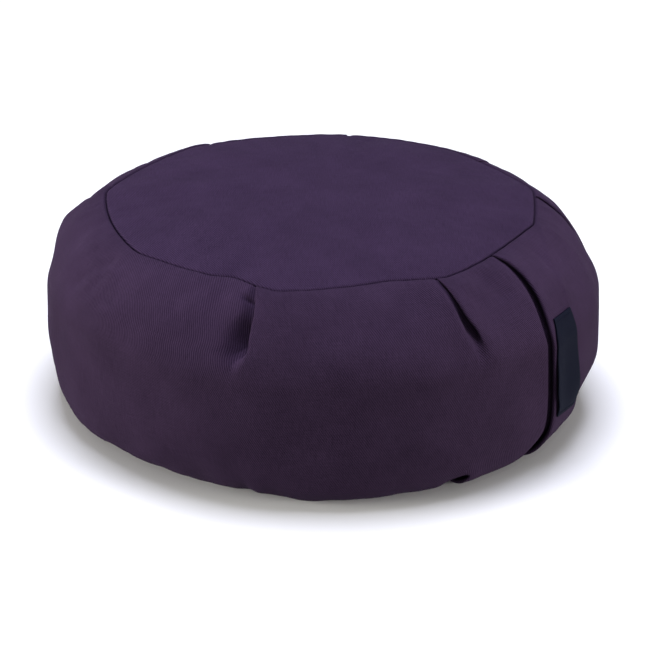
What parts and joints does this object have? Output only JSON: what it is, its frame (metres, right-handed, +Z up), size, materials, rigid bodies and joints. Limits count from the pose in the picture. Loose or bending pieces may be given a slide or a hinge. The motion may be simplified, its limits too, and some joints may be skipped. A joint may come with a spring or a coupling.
{
  "type": "zafu meditation cushion",
  "caption": "Round filled floor cushion with a pleated side band, flat round panels at top and bottom, and an overlapped closure.",
  "frame": {"origin": "middle of the underside, on the floor", "axes": "+Z up through the crown, -Y towards the viewer, +X to the viewer's right, where the overlap and its label lie"},
  "size_m": [0.3832, 0.38, 0.15],
  "materials": {
    "band_twill": "matte",
    "panel_twill": "matte",
    "label_weave": "satin"
  },
  "bodies": {
    "root": {"side_band": "band_twill", "top_panel": "panel_twill", "bottom_panel": "band_twill", "label": "label_weave"}
  },
  "joints": []
}
